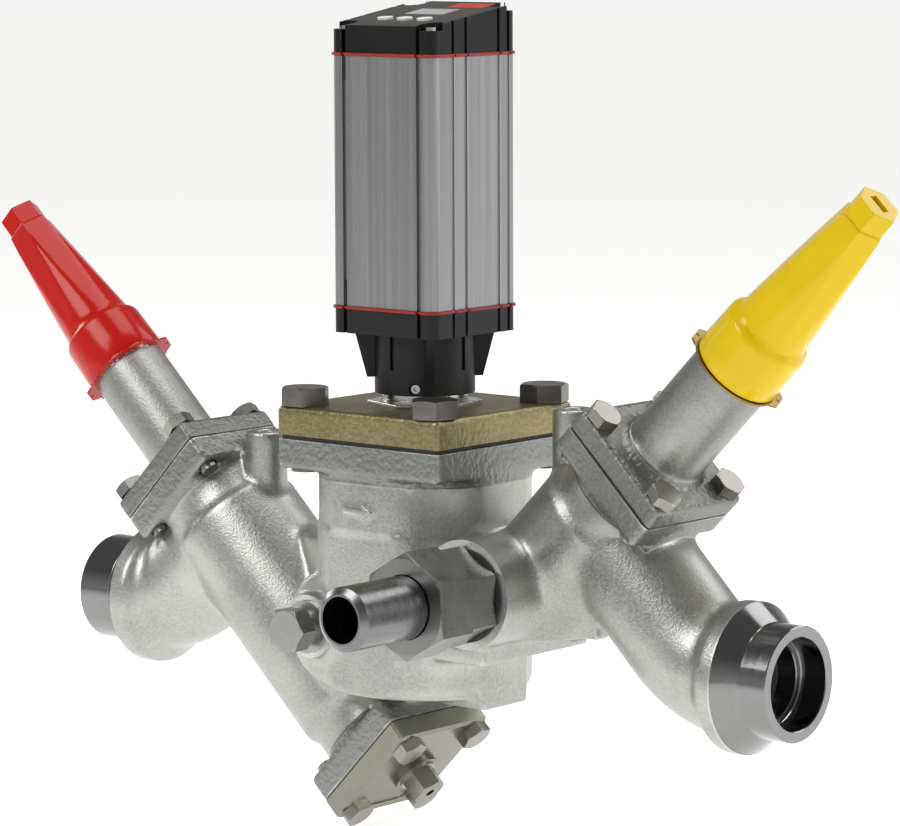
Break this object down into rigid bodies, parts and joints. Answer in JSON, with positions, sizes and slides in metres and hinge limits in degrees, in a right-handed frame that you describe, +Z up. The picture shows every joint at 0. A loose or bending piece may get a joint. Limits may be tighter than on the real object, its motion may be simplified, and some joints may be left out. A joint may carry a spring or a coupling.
{
  "type": "valve station",
  "caption": "Pipe valve station: one casting with angled stop valves under screw caps, a strainer, a motor-driven control valve with display head, and a side port with union.",
  "frame": {"origin": "centre of the inlet socket's mouth", "axes": "+X along the pipe axis to the outlet, +Z up along the control valve's column, -Y toward the side port"},
  "size_m": [0.6326, 0.2226, 0.4547],
  "materials": {
    "zinc_casting": "pebbly cast steel, zinc coated, silver grey",
    "gold_zinc": "olive gold chromated zinc over cast steel",
    "dark_bolt_steel": "dark blued bolt steel with worn bright edges",
    "plated_steel": "light zinc-plated and stainless steel, forged and turned",
    "cover_steel": "bright cover plate, fine rolled grain",
    "turned_steel": "bare turned steel",
    "trim_steel": "ground stainless trim",
    "gland_brass": "machined brass",
    "strainer_wire": "woven stainless wire on a bar frame",
    "gasket_black": "black fibre gasket",
    "washer_aluminium": "soft aluminium washer",
    "seal_white": "white seal plastic",
    "seal_red": "red silicone cord",
    "cap_red": "glossy red moulded plastic",
    "cap_yellow": "glossy yellow moulded plastic",
    "seal_bronze": "stamped bronze coloured seal plate",
    "black_plastic": "black glass filled plastic",
    "housing_aluminium": "brushed anodised aluminium extrusion",
    "panel_black": "satin black front panel with a plain red patch",
    "display_grey": "grey display behind a flush window",
    "key_white": "white oval key",
    "motor_can": "black motor can",
    "board_green": "green circuit board"
  },
  "bodies": {
    "station": {"actuator_adapter": "turned_steel", "actuator_housing": "housing_aluminium", "actuator_neck": "black_plastic", "circuit_board": "board_green", "collar_screws": "plated_steel", "display_window": "display_grey", "drain_plug": "plated_steel", "drain_washer": "washer_aluminium", "inlet_bonnet": "zinc_casting", "inlet_bonnet_bolts": "plated_steel", "inlet_bonnet_gasket": "gasket_black", "inlet_packing_gland": "gland_brass", "inlet_packing_ring": "gasket_black", "inlet_seal_plate": "cap_red", "keypad_board": "board_green", "lower_seal": "seal_red", "motor": "motor_can", "motor_bracket": "housing_aluminium", "motor_cage": "trim_steel", "motor_cover": "gold_zinc", "motor_cover_bolts": "dark_bolt_steel", "motor_cover_gasket": "gasket_black", "nipple": "turned_steel", "outlet_bonnet": "zinc_casting", "outlet_bonnet_bolts": "plated_steel", "outlet_bonnet_gasket": "gasket_black", "outlet_packing_gland": "gland_brass", "outlet_packing_ring": "gasket_black", "outlet_seal_plate": "seal_bronze", "plug_washer": "washer_aluminium", "rear_connectors": "black_plastic", "side_plug": "plated_steel", "side_washer": "gasket_black", "strainer_bolts": "plated_steel", "strainer_cover": "cover_steel", "strainer_frame": "strainer_wire", "strainer_gasket": "gasket_black", "strainer_mesh": "strainer_wire", "top_cap": "black_plastic", "top_panel": "panel_black", "top_screws": "plated_steel", "union_nut": "turned_steel", "upper_seal": "seal_red", "valve_body": "zinc_casting", "weld_stub": "turned_steel"},
    "inlet_cone_group": {"inlet_cone": "trim_steel", "inlet_cone_seal": "seal_white"},
    "inlet_spindle_group": {"inlet_spindle": "trim_steel"},
    "outlet_cone_group": {"outlet_cone": "trim_steel", "outlet_cone_seal": "seal_white"},
    "outlet_spindle_group": {"outlet_spindle": "trim_steel"},
    "red_cap": {"inlet_cap": "cap_red"},
    "yellow_cap": {"outlet_cap": "cap_yellow"},
    "drive_rotor": {"rotor": "motor_can"},
    "drive_spindle": {"motor_spindle": "trim_steel"},
    "control_cone": {"motor_cone": "trim_steel"},
    "left_key_group": {"left_key": "key_white"},
    "middle_key_group": {"middle_key": "key_white"},
    "right_key_group": {"right_key": "key_white"}
  },
  "joints": [
    {"name": "inlet_valve_travel", "type": "slide", "parent": "station", "child": "inlet_cone_group", "axis": [0.7206, 0, -0.6934], "range_m": [0, 0.02]},
    {"name": "inlet_spindle_turn", "type": "hinge", "parent": "inlet_cone_group", "child": "inlet_spindle_group", "pos_m": [0.0712, 0, 0.0731], "axis": [0.7206, 0, -0.6934], "range_deg": [0, 1800]},
    {"name": "outlet_valve_travel", "type": "slide", "parent": "station", "child": "outlet_cone_group", "axis": [-0.7009, 0, -0.7133], "range_m": [0, 0.02]},
    {"name": "outlet_spindle_turn", "type": "hinge", "parent": "outlet_cone_group", "child": "outlet_spindle_group", "pos_m": [0.394, 0, 0.1028], "axis": [-0.7009, 0, -0.7133], "range_deg": [0, 1800]},
    {"name": "red_cap_lift", "type": "slide", "parent": "station", "child": "red_cap", "axis": [-0.7206, 0, 0.6934], "range_m": [0, 0.15]},
    {"name": "yellow_cap_lift", "type": "slide", "parent": "station", "child": "yellow_cap", "axis": [0.7009, 0, 0.7133], "range_m": [0, 0.15]},
    {"name": "rotor_turn", "type": "hinge", "parent": "station", "child": "drive_rotor", "pos_m": [0.2395, 0, 0.2], "axis": [0, 0, 1], "range_deg": [0, 1170]},
    {"name": "motor_spindle_turn", "type": "hinge", "parent": "station", "child": "drive_spindle", "pos_m": [0.2395, 0, 0.15], "axis": [0, 0, 1], "range_deg": [0, 1170]},
    {"name": "control_cone_travel", "type": "slide", "parent": "station", "child": "control_cone", "axis": [0, 0, 1], "range_m": [0, 0.013]},
    {"name": "left_key_press", "type": "slide", "parent": "station", "child": "left_key_group", "axis": [0, 0.155, -0.9879], "range_m": [0, 0.0004], "stiffness_N_per_m": 900, "springref_m": -0.0003},
    {"name": "middle_key_press", "type": "slide", "parent": "station", "child": "middle_key_group", "axis": [0, 0.155, -0.9879], "range_m": [0, 0.0004], "stiffness_N_per_m": 900, "springref_m": -0.0003},
    {"name": "right_key_press", "type": "slide", "parent": "station", "child": "right_key_group", "axis": [0, 0.155, -0.9879], "range_m": [0, 0.0004], "stiffness_N_per_m": 900, "springref_m": -0.0003}
  ],
  "couplings": [
    {"joint": "inlet_spindle_turn", "follows": "inlet_valve_travel", "rad_per_m": 1570.8},
    {"joint": "outlet_spindle_turn", "follows": "outlet_valve_travel", "rad_per_m": 1570.8},
    {"joint": "motor_spindle_turn", "follows": "control_cone_travel", "rad_per_m": 1570.8},
    {"joint": "rotor_turn", "follows": "control_cone_travel", "rad_per_m": 1570.8}
  ]
}
